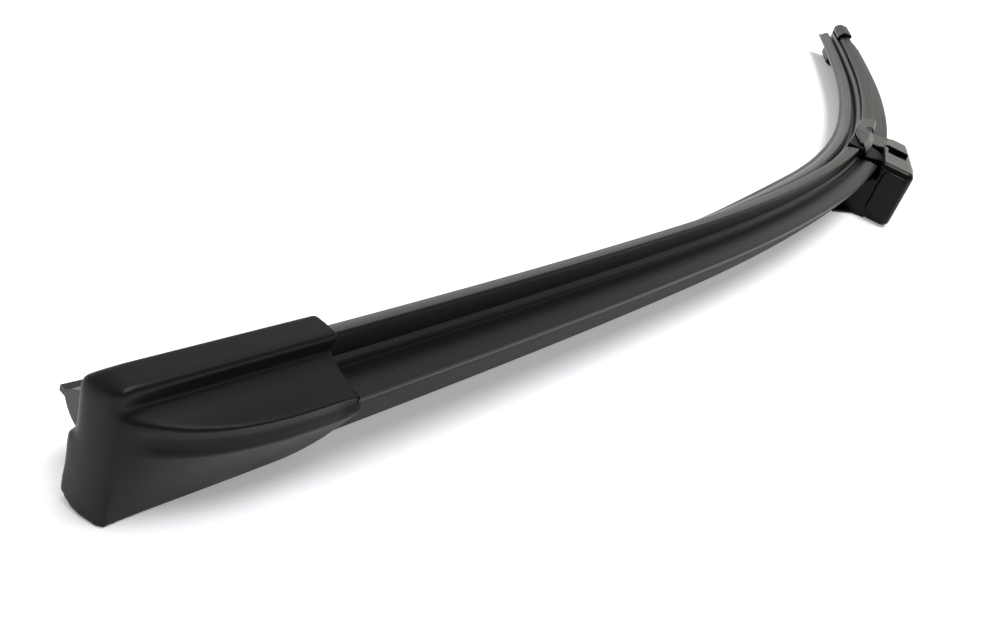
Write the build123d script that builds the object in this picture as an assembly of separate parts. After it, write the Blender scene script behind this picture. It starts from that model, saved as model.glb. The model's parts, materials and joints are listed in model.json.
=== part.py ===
"""Flat wiper blade: a bowed beam blade that lies on its side, built piece by piece."""

import os
from math import cos, degrees, radians, sin

from build123d import *

os.makedirs("parts", exist_ok=True)

# Sizes in mm. The blade lies on its side: X runs along it, Z is its width and -Y is its outer,
# windward side, away from the glass. In a section, h is the height away from the glass
# (so -Y) and w is the sideways position from the middle plane (so Z).
NEAR_LENGTH = 262.0
FAR_LENGTH = 238.0
MID_REACH = 50.0
QUARTER_REACH = 140.0
MID_RADIUS = 459.0
QUARTER_RADIUS = 851.0
TIP_RADIUS = 2383.0
PIN_HEIGHT = 11.0

CAP_LENGTH = 27.0
CAP_HALF = 8.6
CAP_WALL = 1.5
CAP_DEPTH = 1.9
CAP_WING_HEIGHT = 4.2
CAP_WING_IN = 5.9
CAP_WING_ROLL = 0.7
CAP_GROOVE = 0.5
CAP_HOLLOW_POWER = 2.6
CAP_FACET = 2.4
CAP_BACK_LOW = 0.3
CAP_BACK_UNDERCUT = 2.4
CAP_CHAMFER_HIGH = 2.3
CAP_CHAMFER_WIDE = 1.2
CAP_MOUTH_ROUND = 4.5
CAP_END_ROLL = 2.6
CAP_FOOT_ROLL = 0.6
CAP_FOOT_HEIGHT = 3.9
CAP_LIP_SIDE = 0.6
CAP_LIP_ROUND = 2.4
NOSE_END_HEIGHT = -0.3
NOSE_REACH = 26.0
NOSE_POWER = 3.2
NOSE_ROUND = 1.5
NOSE_STEPS = 14
HOLLOW_STEPS = 6
JOINT_GAP = 0.2

CLAW_HALF = 7.55
CLAW_FOOT_HALF = 6.3
LEDGE_HEIGHT = 3.1
CLAW_LOW = -0.6
CREST_HEIGHT = 9.95
CREST_W = 3.95
CREST_FLAT = 0.6
FIN_ROOT_W = 3.3
FIN_FILLET = 1.0
SLOPE_FOOT_HEIGHT = 3.3
SLOPE_SAG = 0.7

RAIL_IN = 1.35
RAIL_WIDTH = 3.85
RAIL_LOW = 0.5
RAIL_THICK = 1.0
RAIL_GAP = 0.15
RAIL_END_INSET = 2.6
NOTCH_LENGTH = 3.2
NOTCH_DEPTH = 0.9
NOTCH_INSET = 12.0

HEAD_HALF = 2.6
HEAD_TOP = 2.3
WEB_HALF = 1.2
SHOULDER_HALF = 4.3
SHOULDER_LOW = -1.5
NECK_HALF = 0.55
WEDGE_TOP = -2.5
WEDGE_EDGE = -3.6
WEDGE_HALF = 2.4
LIP_ROOT = -6.3
LIP_HALF = 0.42
FLANK_HOLLOW = 0.35
LIP_TIP = -7.3
LIP_LEAN = 8.0
RUBBER_END_INSET = 2.7

NEAR_SPOILER_END = 13.6
CLAW_END_BACK = 8.0
CLAW_END_IN = 3.2
FAR_SPOILER_END = 30.8
COVER_GROW = 1.05
COVER_LOW_HEIGHT = 5.4
COVER_FIN_START = 15.0
COVER_NEAR = 9.7
COVER_ROOF_HALF = 5.5
COVER_SIDE_HALF = 8.0
COVER_SLOPE_WIDE = 0.8
COVER_TONGUE_LOW = 2.6
COVER_TONGUE_BACK = 5.0

BRACKET_LENGTH = 25.0
BRACKET_SHEET = 1.2
BRACKET_HALF = 6.9
EAR_HALF = 4.6
EAR_ROUND = 3.3
PIN_RADIUS = 2.0
PIN_FIT = 0.05

ADAPTER_NEAR = 23.0
ADAPTER_FAR = 13.5
ADAPTER_HALF = 8.4
ADAPTER_WALL = 1.7
ADAPTER_NEAR_TOP = 20.6
ADAPTER_FAR_TOP = 15.8
ADAPTER_NEAR_LOW = 11.2
ADAPTER_FAR_LOW = 8.8
SKIRT_LOW = 4.2
SKIRT_LENGTH = 22.0
SKIRT_FLARE = 9.5
ADAPTER_CORNER = 2.6
ADAPTER_EDGE = 1.8
HOOK_WIDTH = 9.4
HOOK_FLOOR = 16.2
HUB_HALF = 3.1
HUB_ROUND = 3.6
WINDOW_LENGTH = 10.0
WINDOW_HEIGHT = 6.4
WINDOW_NEAR = 8.0
PANEL_INSET = 2.0
PANEL_PROUD = 0.4
PANEL_ROUND = 1.5
GUSSET_HIGH = 11.7
GUSSET_LOW = 4.6
GUSSET_SIDE = 4.0

MID_Z = CAP_HALF


def turn(s):
    """Direction of the blade's centre line, in radians, s mm along it from the pivot."""
    a = abs(s)
    inner = min(a, MID_REACH) / MID_RADIUS
    middle = max(0.0, min(a, QUARTER_REACH) - MID_REACH) / QUARTER_RADIUS
    outer = max(0.0, a - QUARTER_REACH) / TIP_RADIUS
    return (inner + middle + outer) * (1 if s > 0 else -1)


def breaks(s0, s1):
    """Stations where the bend radius changes between s0 and s1."""
    marks = [-QUARTER_REACH, -MID_REACH, MID_REACH, QUARTER_REACH]
    return [s0] + [m for m in marks if s0 + 0.01 < m < s1 - 0.01] + [s1]


def radius_at(s):
    a = abs(s)
    if a < MID_REACH:
        return MID_RADIUS
    return QUARTER_RADIUS if a < QUARTER_REACH else TIP_RADIUS


def station(s):
    """Point on the centre line, s mm along it from the pivot."""
    x, y = 0.0, PIN_HEIGHT
    marks = breaks(min(0.0, s), max(0.0, s))
    steps = list(zip(marks, marks[1:])) if s > 0 else list(zip(marks[1:], marks))[::-1]
    for a, b in steps:
        r = radius_at((a + b) / 2)
        x += r * (sin(turn(b)) - sin(turn(a)))
        y -= r * (cos(turn(b)) - cos(turn(a)))
    return Vector(x, y, MID_Z)


def path(s0, s1):
    """Tangent arcs of the centre line from s0 to s1."""
    marks = breaks(s0, s1)
    arcs = [
        ThreePointArc(station(a), station((a + b) / 2), station(b))
        for a, b in zip(marks, marks[1:])
    ]
    return Wire(arcs)


def frame_at(s):
    """Plane across the blade at s: local x is -h, local y is w."""
    t = turn(s)
    return Plane(origin=station(s), x_dir=(-sin(t), cos(t), 0), z_dir=(cos(t), sin(t), 0))


def place(s):
    """Location of a piece drawn straight: X along the blade, -Y is h, Z is w."""
    p = station(s)
    return Location((p.X, p.Y, p.Z), (0, 0, degrees(turn(s))))


def hw(h, w):
    """A section point as a sketch point."""
    return (-h, w)


def outline(points):
    """Closed face through section points; a point may carry a mid point of an arc to it."""
    edges = []
    for a, b in zip(points, points[1:] + points[:1]):
        if len(b) == 2:
            edges.append(Line(hw(*a[:2]), hw(*b)))
        else:
            edges.append(ThreePointArc(hw(*a[:2]), hw(*b[2:]), hw(*b[:2])))
    return make_face(Wire(edges))


def mirrored(points):
    """Right-hand points, top to bottom, closed with their mirror image."""
    return points + [(h, -w) for h, w in reversed(points)]


def sweep_along(face, s0, s1):
    return sweep(frame_at(s0) * face, path=path(s0, s1))


# Track in the underside that takes the rails and the head of the rubber.
rail_top = RAIL_LOW + RAIL_THICK
track_half = RAIL_IN + RAIL_WIDTH + 0.25
track_top = rail_top + RAIL_GAP
head_room = HEAD_TOP + RAIL_GAP
mouth_half = SHOULDER_HALF + 0.45
track = outline(
    mirrored(
        [
            (head_room, HEAD_HALF + 0.3),
            (track_top, HEAD_HALF + 0.3),
            (track_top, track_half),
            (RAIL_LOW - RAIL_GAP, track_half),
            (RAIL_LOW - RAIL_GAP, mouth_half),
            (CLAW_LOW - 4.0, mouth_half),
        ]
    )
)


def slope_mid(a, b, sag):
    """Mid point of the hollow windward slope between a and b."""
    dh, dw = b[0] - a[0], b[1] - a[1]
    length = (dh * dh + dw * dw) ** 0.5
    return ((a[0] + b[0]) / 2 + sag * dw / length, (a[1] + b[1]) / 2 - sag * dh / length)


# Spoiler section: claws over the rails, ledge, steep hollow back, sharp crest, windward slope.
crest_in = (CREST_HEIGHT, CREST_W - CREST_FLAT)
slope_foot = (SLOPE_FOOT_HEIGHT, -CLAW_HALF)
root_h = LEDGE_HEIGHT + FIN_FILLET
bend = FIN_FILLET * (1 - cos(radians(45)))
back_mid = ((root_h + CREST_HEIGHT) / 2, (FIN_ROOT_W + CREST_W) / 2 - 0.35)
spoiler_outer = outline(
    [
        (CLAW_LOW, -CLAW_FOOT_HALF + 0.6),
        (CLAW_LOW, CLAW_FOOT_HALF - 0.6),
        (0.0, CLAW_FOOT_HALF),
        (LEDGE_HEIGHT - 0.3, CLAW_HALF),
        (LEDGE_HEIGHT, CLAW_HALF - 0.4),
        (LEDGE_HEIGHT, FIN_ROOT_W + FIN_FILLET),
        (root_h, FIN_ROOT_W, LEDGE_HEIGHT + bend, FIN_ROOT_W + bend),
        (CREST_HEIGHT, CREST_W, *back_mid),
        crest_in,
        (*slope_foot, *slope_mid(crest_in, slope_foot, SLOPE_SAG)),
        (0.0, -CLAW_FOOT_HALF),
    ]
)
chamber_low = LEDGE_HEIGHT + 0.6
chamber = outline(
    [
        (chamber_low, FIN_ROOT_W - 1.2),
        (CREST_HEIGHT - 2.4, CREST_W - 1.5),
        (chamber_low, -CLAW_HALF + 3.8),
    ]
)
spoiler_face = spoiler_outer - track - chamber

near_cap_in = -NEAR_LENGTH + CAP_LENGTH
far_cap_in = FAR_LENGTH - CAP_LENGTH
spoiler_near = sweep_along(spoiler_face, near_cap_in + JOINT_GAP, -NEAR_SPOILER_END)
spoiler_far = sweep_along(spoiler_face, FAR_SPOILER_END, far_cap_in - JOINT_GAP)
# The near spoiler's leeward claw ends in a slant, short of the connector.
slant = make_face(
    Polyline(
        (-CLAW_END_BACK, CLAW_HALF + 1),
        (1, CLAW_HALF + 1),
        (1, CLAW_HALF - CLAW_END_IN),
        (0, CLAW_HALF - CLAW_END_IN),
        (-CLAW_END_BACK, CLAW_HALF),
        close=True,
    )
)
slant_cut = Rot(90, 0, 0) * extrude(slant, LEDGE_HEIGHT + 0.4, both=True)
spoiler_near -= place(-NEAR_SPOILER_END) * slant_cut

# Rubber: head above the rails, web, shoulder, thin neck, wedge and wiping lip.
lean = radians(LIP_LEAN)
neck_low = (SHOULDER_LOW + WEDGE_TOP) / 2


def leaned(h, w):
    """A point of the wedge, tipped about the neck as it hangs to one side."""
    d = h - neck_low
    return (neck_low + d * cos(lean) - w * sin(lean), w * cos(lean) + d * sin(lean))


flank = slope_mid((WEDGE_EDGE, WEDGE_HALF), (LIP_ROOT, LIP_HALF), 0.0)
flank_in = (flank[0], flank[1] - FLANK_HOLLOW)
head = [
    (HEAD_TOP, HEAD_HALF),
    (track_top - 0.05, HEAD_HALF),
    (track_top - 0.05, WEB_HALF),
    (RAIL_LOW - 0.1, WEB_HALF),
    (RAIL_LOW - 0.1, SHOULDER_HALF),
    (SHOULDER_LOW, SHOULDER_HALF - 0.5),
    (SHOULDER_LOW, NECK_HALF),
]
wedge_side = [
    (WEDGE_TOP, NECK_HALF),
    (WEDGE_TOP - 0.25, WEDGE_HALF - 0.3),
    (WEDGE_EDGE, WEDGE_HALF),
]
right = [leaned(h, w) for h, w in wedge_side]
right += [(*leaned(LIP_ROOT, LIP_HALF), *leaned(*flank_in)), leaned(LIP_TIP, LIP_HALF)]
left = [leaned(LIP_TIP, -LIP_HALF), leaned(LIP_ROOT, -LIP_HALF)]
left += [(*leaned(WEDGE_EDGE, -WEDGE_HALF), *leaned(flank_in[0], -flank_in[1]))]
left += [leaned(h, -w) for h, w in reversed(wedge_side[:-1])]
rubber_face = outline(head + right + left + [(h, -w) for h, w in reversed(head)])
rubber_near = -NEAR_LENGTH + RUBBER_END_INSET
rubber_far = FAR_LENGTH - RUBBER_END_INSET
wiper_rubber = sweep_along(rubber_face, rubber_near, rubber_far)


def rail(side):
    """One spring strip with a notch near each end for the end caps' lugs."""
    a, b = RAIL_IN * side, (RAIL_IN + RAIL_WIDTH) * side
    face = outline([(RAIL_LOW, a), (rail_top, a), (rail_top, b), (RAIL_LOW, b)])
    near_end = -NEAR_LENGTH + RAIL_END_INSET
    far_end = FAR_LENGTH - RAIL_END_INSET
    strip = sweep_along(face, near_end, far_end)
    for s in (-NEAR_LENGTH + NOTCH_INSET, FAR_LENGTH - NOTCH_INSET):
        cut = Box(NOTCH_LENGTH, 4 * RAIL_THICK, 2 * NOTCH_DEPTH)
        strip -= place(s) * Pos(0, -RAIL_LOW - RAIL_THICK / 2, b) * cut
    return strip


spring_rail_front = rail(-1)
spring_rail_rear = rail(1)

# End cap: a sleeve that continues the section, with a flat wing along the back edge, a hollow
# that carries on the fin's back, and a nose that falls from the crest to the closed end.
wing_low = CAP_WING_HEIGHT - CAP_GROOVE
cap_peak = CREST_HEIGHT + 1.5


def nose_height(e):
    """Height of the nose, e mm in from the cap's mouth: a long fall, then a rounded end."""
    fall = (CREST_HEIGHT - CAP_WING_HEIGHT) * (max(0.0, e) / NOSE_REACH) ** NOSE_POWER
    over = min(1.0, max(0.0, e - CAP_LENGTH + NOSE_ROUND) / NOSE_ROUND)
    return NOSE_END_HEIGHT + (CREST_HEIGHT - fall - NOSE_END_HEIGHT) * (1 - over * over) ** 0.5


def hollow_side(h):
    """Sideways place of the hollow's wall at height h."""
    rise = max(0.0, CREST_HEIGHT - h) / (CREST_HEIGHT - wing_low)
    return CREST_W + (CAP_WING_IN - CREST_W) * rise**CAP_HOLLOW_POWER


def cap_block():
    """The cap before its nose and windward side are cut: sleeve, wing, groove and hollow."""
    roll_mid = CAP_WING_ROLL * (1 - cos(radians(45)))
    rim = [
        (wing_low, CAP_WING_IN),
        (CAP_WING_HEIGHT, CAP_HALF - CAP_WING_ROLL),
        (
            CAP_WING_HEIGHT - CAP_WING_ROLL,
            CAP_HALF,
            CAP_WING_HEIGHT - roll_mid,
            CAP_HALF - roll_mid,
        ),
        (CAP_BACK_LOW, CAP_HALF),
        (-CAP_DEPTH, CAP_HALF - CAP_BACK_UNDERCUT),
        (-CAP_DEPTH, -CAP_HALF + CAP_CHAMFER_WIDE),
        (CAP_CHAMFER_HIGH - CAP_DEPTH, -CAP_HALF),
        (cap_peak, -CAP_HALF),
        (cap_peak, CREST_W),
        (CREST_HEIGHT, CREST_W),
    ]
    span = CREST_HEIGHT - wing_low
    heights = [CREST_HEIGHT - span * k / HOLLOW_STEPS for k in range(HOLLOW_STEPS + 1)]
    hollow = Spline([hw(h, hollow_side(h)) for h in heights])
    edges = [*hollow.edges()]
    for a, b in zip(rim, rim[1:]):
        if len(b) == 2:
            edges.append(Line(hw(*a[:2]), hw(*b)))
        else:
            edges.append(ThreePointArc(hw(*a), hw(*b[2:]), hw(*b[:2])))
    return extrude(Plane.YZ * make_face(Wire(edges)), -CAP_LENGTH)


def nose_limit():
    """Everything under the nose's curve, across the whole width."""
    steps = [CAP_LENGTH * sin(radians(90 * k / NOSE_STEPS)) for k in range(NOSE_STEPS + 1)]
    curve = Spline([(-e, -nose_height(e)) for e in steps], tangents=[(-1, 0), (0, 1)])
    back = Polyline(
        (-CAP_LENGTH, -NOSE_END_HEIGHT),
        (-CAP_LENGTH, 2 * CAP_DEPTH),
        (0, 2 * CAP_DEPTH),
        (0, -CREST_HEIGHT),
    )
    return extrude(make_face(Wire([*curve.edges(), *back.edges()])), 2 * CAP_HALF, both=True)


def windward_cut():
    """What lies outside the windward side: a ruled face from the nose's fold to the foot."""
    fold, foot = [], []
    for k in range(NOSE_STEPS + 1):
        e = -1 + (CAP_LENGTH + 2) * k / NOSE_STEPS
        h = max(nose_height(e), CAP_WING_HEIGHT)
        w = hollow_side(h) - CAP_FACET
        dh, dw = CAP_FOOT_HEIGHT - h, -CAP_HALF - w
        fold.append((-e, -h + 0.3 * dh, w - 0.3 * dw))
        foot.append((-e, -h - 1.3 * dh, w + 1.3 * dw))
    face = Face.make_surface_from_curves(Spline(fold).edge(), Spline(foot).edge())
    return extrude(face, 3 * CAP_HALF, dir=(0, -1, -1))


def round_off(r, x, side):
    """What rounds the cap's corner at x off to radius r, on the side towards +w or -w."""
    inward = -1 if x > -CAP_LENGTH / 2 else 1
    block = Pos(x, 0, side * CAP_HALF) * Box(2 * r, 4 * CAP_HALF, 2 * r)
    bar = Pos(x + inward * r, 0, side * (CAP_HALF - r)) * Rot(90, 0, 0) * Cylinder(r, 4 * CAP_HALF)
    keep_x = Pos(x + inward * 2 * r, 0, side * CAP_HALF) * Box(2 * r, 5 * CAP_HALF, 5 * r)
    keep_w = Pos(x, 0, side * (CAP_HALF - 2 * r)) * Box(5 * r, 5 * CAP_HALF, 2 * r)
    return block - bar - keep_x - keep_w


def end_cap():
    """The near cap drawn straight: X = 0 at its mouth, the nose towards -X."""
    body = cap_block() & nose_limit()
    body -= windward_cut()
    body -= extrude(Plane.YZ * track, -(CAP_LENGTH - CAP_WALL))
    body -= round_off(CAP_MOUTH_ROUND, 0, -1)
    body -= round_off(CAP_END_ROLL, -CAP_LENGTH, 1)
    body -= round_off(CAP_FOOT_ROLL, -CAP_LENGTH, -1)
    r = CAP_LIP_ROUND
    lip_corner = Pos(-CAP_LENGTH, CAP_DEPTH, CAP_HALF + CAP_LIP_SIDE)
    lip_room = lip_corner * Box(2 * r, 2 * r, 2 * CAP_HALF)
    body -= lip_room - lip_corner * Pos(r, -r, 0) * Cylinder(r, 4 * CAP_HALF)
    for w in (-1, 1):
        lug = Box(NOTCH_LENGTH - 0.6, track_top - RAIL_LOW + 0.6, 1.2)
        at = track_half - NOTCH_DEPTH + 0.15 + 0.6
        h_mid = -(track_top + RAIL_LOW) / 2
        body += Pos(-(CAP_LENGTH - NOTCH_INSET), h_mid, w * at) * lug
    return body


cap_drawn = end_cap()
end_cap_near = place(near_cap_in) * cap_drawn
end_cap_far = place(far_cap_in) * mirror(cap_drawn, about=Plane.YZ)

# Steel bracket: a saddle crimped around both rails, with two ears that carry the pivot pin.
floor_low = head_room + 0.1
floor_top = floor_low + BRACKET_SHEET
hook_in = mouth_half + 0.1
saddle_face = outline(
    mirrored(
        [
            (floor_top, BRACKET_HALF),
            (CLAW_LOW - 0.2, BRACKET_HALF),
            (CLAW_LOW - 0.2, hook_in),
            (RAIL_LOW - RAIL_GAP, hook_in),
            (RAIL_LOW - RAIL_GAP, track_half),
            (track_top, track_half),
            (track_top, HEAD_HALF + 0.3),
            (floor_low, HEAD_HALF + 0.3),
        ]
    )
)
half = BRACKET_LENGTH / 2
saddle = sweep_along(saddle_face, -half, half)
ears = Part()
for side in (-1, 1):
    plate = make_face(
        Polyline(
            (-half + 2, -floor_top + 0.6),
            (-EAR_ROUND, -PIN_HEIGHT),
            (EAR_ROUND, -PIN_HEIGHT),
            (half - 2, -floor_top + 0.6),
            close=True,
        )
    )
    ear = extrude(plate + Pos(0, -PIN_HEIGHT) * Circle(EAR_ROUND), BRACKET_SHEET)
    inside = EAR_HALF - BRACKET_SHEET if side > 0 else -EAR_HALF
    ears += Pos(0, PIN_HEIGHT, MID_Z + inside) * ear
pin_bore = Cylinder(PIN_RADIUS, 4 * CAP_HALF)
rail_bracket = saddle + ears - Pos(0, 0, MID_Z) * pin_bore

# Pivot pin, riveted flush into the two ears.
pivot_pin = Pos(0, 0, MID_Z) * Cylinder(PIN_RADIUS, 2 * EAR_HALF)

# Plastic cover: carries the spoiler's shape over the bracket's far end.
cover_face = offset(spoiler_outer, COVER_GROW) - track - chamber
cover_end = FAR_SPOILER_END - JOINT_GAP
cover_fin = sweep_along(cover_face, COVER_FIN_START, cover_end)
wall_low = CLAW_LOW - COVER_GROW
side_in = BRACKET_HALF + 0.15
roof_low = floor_top + 0.15
side_face = outline(
    [
        (wall_low, side_in),
        (roof_low, side_in),
        (roof_low, EAR_HALF + 0.2),
        (COVER_LOW_HEIGHT, EAR_HALF + 0.2),
        (COVER_LOW_HEIGHT, COVER_ROOF_HALF),
        (roof_low - COVER_SLOPE_WIDE, COVER_SIDE_HALF),
        (wall_low, COVER_SIDE_HALF),
    ]
)
cover_walls = sweep_along(side_face, -COVER_NEAR, COVER_FIN_START)
cover_walls += sweep_along(mirror(side_face, about=Plane.XZ), -COVER_NEAR, COVER_FIN_START)
# The walls' near ends run back to a point under the roof.
tongue = make_face(
    Polyline(
        (-COVER_NEAR - 1, PIN_HEIGHT - COVER_TONGUE_LOW),
        (COVER_TONGUE_BACK, PIN_HEIGHT - wall_low),
        (COVER_TONGUE_BACK, PIN_HEIGHT + CAP_HALF),
        (-COVER_NEAR - 1, PIN_HEIGHT + CAP_HALF),
        close=True,
    )
)
cover_walls -= Pos(0, 0, MID_Z) * extrude(tongue, 2 * CAP_HALF, both=True)
connector_cover = cover_fin + cover_walls


def side_plate(points, half):
    """A plate of the adapter from its side outline, about the pivot and the middle plane."""
    rim = Polyline([(x, PIN_HEIGHT - h) for x, h in points], close=True)
    return extrude(make_face(rim), half, both=True)


# Arm adapter: a box on the pivot pin with a channel for the arm's hook, a window in the upper
# side wall, a raised panel on its end, a skirt outside the windward claw and an end wall that
# follows the spoiler's slope.
box_wall = side_plate(
    [
        (-ADAPTER_NEAR, ADAPTER_NEAR_LOW),
        (-ADAPTER_NEAR, ADAPTER_NEAR_TOP),
        (-ADAPTER_NEAR + 9, ADAPTER_NEAR_TOP - 0.5),
        (ADAPTER_FAR, ADAPTER_FAR_TOP),
        (ADAPTER_FAR, ADAPTER_FAR_LOW + 1.5),
        (ADAPTER_FAR - 2, ADAPTER_FAR_LOW),
        (0, ADAPTER_FAR_LOW),
    ],
    ADAPTER_HALF,
)
box_wall = fillet(box_wall.edges().filter_by(Axis.Z).sort_by(Axis.Y)[0], ADAPTER_CORNER)
side_edges = [e for e in box_wall.edges() if abs(abs(e.center().Z) - ADAPTER_HALF) < 0.01]
top_side = PIN_HEIGHT - ADAPTER_FAR_TOP - 0.2
round_edges = [
    e for e in side_edges if e.center().Y < top_side or e.center().X < 0.5 - ADAPTER_NEAR
]
box_wall = fillet(round_edges, ADAPTER_EDGE)
hollow_top = PIN_HEIGHT + HUB_ROUND
hollow = side_plate(
    [
        (-ADAPTER_NEAR + ADAPTER_WALL, 0),
        (-ADAPTER_NEAR + ADAPTER_WALL, hollow_top),
        (ADAPTER_FAR - ADAPTER_WALL, hollow_top),
        (ADAPTER_FAR - ADAPTER_WALL, 0),
    ],
    ADAPTER_HALF - ADAPTER_WALL,
)
near_wall = -ADAPTER_NEAR + 2 * ADAPTER_WALL
channel = side_plate(
    [(near_wall, HOOK_FLOOR), (near_wall, 40), (60, 40), (60, HOOK_FLOOR)],
    HOOK_WIDTH / 2,
)
window_low = ADAPTER_FAR_LOW + 1.2
window_far = -WINDOW_NEAR + WINDOW_LENGTH
windows = side_plate(
    [
        (-WINDOW_NEAR, max(window_low, ADAPTER_NEAR_LOW - 0.6)),
        (-WINDOW_NEAR, window_low + WINDOW_HEIGHT),
        (window_far, window_low + WINDOW_HEIGHT),
        (window_far, window_low),
    ],
    2 * ADAPTER_HALF,
)
below = CAP_HALF * 4
windows -= Pos(0, 0, ADAPTER_HALF - ADAPTER_WALL - below) * Box(200, 200, 2 * below)
hub = Cylinder(HUB_ROUND, 2 * HUB_HALF) + side_plate(
    [
        (-HUB_ROUND, PIN_HEIGHT),
        (-HUB_ROUND, hollow_top + 0.5),
        (HUB_ROUND, hollow_top + 0.5),
        (HUB_ROUND, PIN_HEIGHT),
    ],
    HUB_HALF,
)
panel_high = ADAPTER_NEAR_TOP - ADAPTER_NEAR_LOW - PANEL_INSET
panel = Box(2 * PANEL_PROUD, panel_high, 2 * (ADAPTER_HALF - PANEL_INSET))
panel = fillet(panel.edges().filter_by(Axis.X), PANEL_ROUND)
panel_mid = PIN_HEIGHT - (ADAPTER_NEAR_TOP + ADAPTER_NEAR_LOW) / 2
panel = Pos(-ADAPTER_NEAR, panel_mid, 0) * panel
skirt_in = CLAW_HALF + 0.2
skirt = side_plate(
    [
        (-ADAPTER_NEAR - SKIRT_FLARE, SKIRT_LOW),
        (-ADAPTER_NEAR - 1, ADAPTER_NEAR_LOW - 1.5),
        (-ADAPTER_NEAR, ADAPTER_NEAR_LOW + 1),
        (-ADAPTER_NEAR + SKIRT_LENGTH + 3, ADAPTER_NEAR_LOW + 1),
        (-ADAPTER_NEAR + SKIRT_LENGTH, SKIRT_LOW),
    ],
    ADAPTER_HALF,
)
skirt -= Pos(0, 0, 2 * ADAPTER_HALF - skirt_in) * Box(200, 200, 4 * ADAPTER_HALF)
gusset_face = make_face(
    Polyline(
        (PIN_HEIGHT - GUSSET_HIGH, GUSSET_SIDE),
        (PIN_HEIGHT - GUSSET_LOW, -ADAPTER_HALF),
        (PIN_HEIGHT - ADAPTER_NEAR_LOW - 2, -ADAPTER_HALF),
        (PIN_HEIGHT - ADAPTER_NEAR_LOW - 2, GUSSET_SIDE),
        close=True,
    )
)
gusset = Pos(-ADAPTER_NEAR, 0, 0) * extrude(Plane.YZ * gusset_face, ADAPTER_WALL)
adapter_body = box_wall - hollow - channel + hub + panel + skirt + gusset - windows
adapter_body -= Cylinder(PIN_RADIUS + PIN_FIT, 4 * ADAPTER_HALF)
arm_adapter = Pos(0, 0, MID_Z) * adapter_body

nodes = {
    "wiper_rubber": wiper_rubber,
    "spring_rail_front": spring_rail_front,
    "spring_rail_rear": spring_rail_rear,
    "spoiler_near": spoiler_near,
    "spoiler_far": spoiler_far,
    "end_cap_near": end_cap_near,
    "end_cap_far": end_cap_far,
    "rail_bracket": rail_bracket,
    "pivot_pin": pivot_pin,
    "connector_cover": connector_cover,
    "arm_adapter": arm_adapter,
}
# The origin is the middle of the footprint, on the table that the blade lies on.
boxes = [shape.bounding_box() for shape in nodes.values()]
mid_x = (min(b.min.X for b in boxes) + max(b.max.X for b in boxes)) / 2
mid_y = (min(b.min.Y for b in boxes) + max(b.max.Y for b in boxes)) / 2
low_z = min(b.min.Z for b in boxes)
home = Pos(-mid_x, -mid_y, -low_z)
for name, shape in nodes.items():
    export_step(home * shape, f"parts/{name}.step")
    print(name, len(shape.solids()), round(shape.volume), shape.bounding_box().size)
print("pivot", -mid_x, -mid_y, MID_Z - low_z)
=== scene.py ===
# %% [markdown]
# A flat wiper blade lies on its side on a white table, seen from close by one end. Its solids come
# from the CAD frame. Rendered as they are, they would show knife edges and one even black. So each
# visible piece gets the soft edges, the grain and the sheen of the material it is made of, and then
# the table, the light and the camera are set. Sizes are written in millimetres, as on a drawing, and
# turned into metres, Blender's unit, where they are used.

import json
from math import cos, hypot, pi, radians, sin

import bmesh
import bpy
from mathutils import Matrix, Vector


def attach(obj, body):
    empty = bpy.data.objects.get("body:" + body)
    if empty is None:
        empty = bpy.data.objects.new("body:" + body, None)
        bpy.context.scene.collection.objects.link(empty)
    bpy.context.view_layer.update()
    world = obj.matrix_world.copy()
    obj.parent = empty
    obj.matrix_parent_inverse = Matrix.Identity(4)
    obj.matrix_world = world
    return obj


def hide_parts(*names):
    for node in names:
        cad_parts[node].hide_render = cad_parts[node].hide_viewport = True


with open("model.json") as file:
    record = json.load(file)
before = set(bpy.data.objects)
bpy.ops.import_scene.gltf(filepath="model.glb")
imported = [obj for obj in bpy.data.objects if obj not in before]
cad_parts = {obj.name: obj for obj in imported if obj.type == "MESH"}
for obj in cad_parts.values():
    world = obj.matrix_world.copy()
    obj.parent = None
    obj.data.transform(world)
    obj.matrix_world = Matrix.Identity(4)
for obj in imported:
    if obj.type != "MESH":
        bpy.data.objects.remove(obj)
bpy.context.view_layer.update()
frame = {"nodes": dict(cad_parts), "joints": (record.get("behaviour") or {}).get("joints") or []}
pivot = Vector(frame["joints"][0]["pos_m"])
MM = 0.001
print("CAD nodes:", sorted(frame["nodes"]))

# %% [markdown]
# The blade is bowed so that the arm's push spreads along the glass: its centre line is a chain
# of tangent arcs, tighter in the middle. The line could be read off the solids, but their edges
# are facets. The sizes that drive the solids give a smooth line at any step.

# %% The bow
MID_REACH, QUARTER_REACH = 50.0, 140.0
MID_RADIUS, QUARTER_RADIUS, TIP_RADIUS = 459.0, 851.0, 2383.0
PIN_HEIGHT = 11.0
NEAR_LENGTH, FAR_LENGTH = 262.0, 238.0
PATH_STEP = 4.0


def turn(s):
    """Direction of the centre line, s mm along it from the pivot."""
    a = abs(s)
    inner = min(a, MID_REACH) / MID_RADIUS
    middle = max(0.0, min(a, QUARTER_REACH) - MID_REACH) / QUARTER_RADIUS
    outer = max(0.0, a - QUARTER_REACH) / TIP_RADIUS
    return (inner + middle + outer) * (1 if s > 0 else -1)


def station(s):
    """Point of the centre line in metres, s mm along it from the pivot."""
    x, y, at = 0.0, PIN_HEIGHT, 0.0
    way = 1 if s > 0 else -1
    for mark, radius in (
        (MID_REACH, MID_RADIUS),
        (QUARTER_REACH, QUARTER_RADIUS),
        (NEAR_LENGTH, TIP_RADIUS),
    ):
        end = max(at, min(abs(s), mark))
        a, b = turn(way * at), turn(way * end)
        x += radius * (sin(b) - sin(a))
        y -= radius * (cos(b) - cos(a))
        at = end
    return pivot + Vector((x, y, 0)) * MM


def placed(name, data):
    """A new object with this data in the scene, at the origin."""
    made = bpy.data.objects.new(name, data)
    bpy.context.scene.collection.objects.link(made)
    return made


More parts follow.
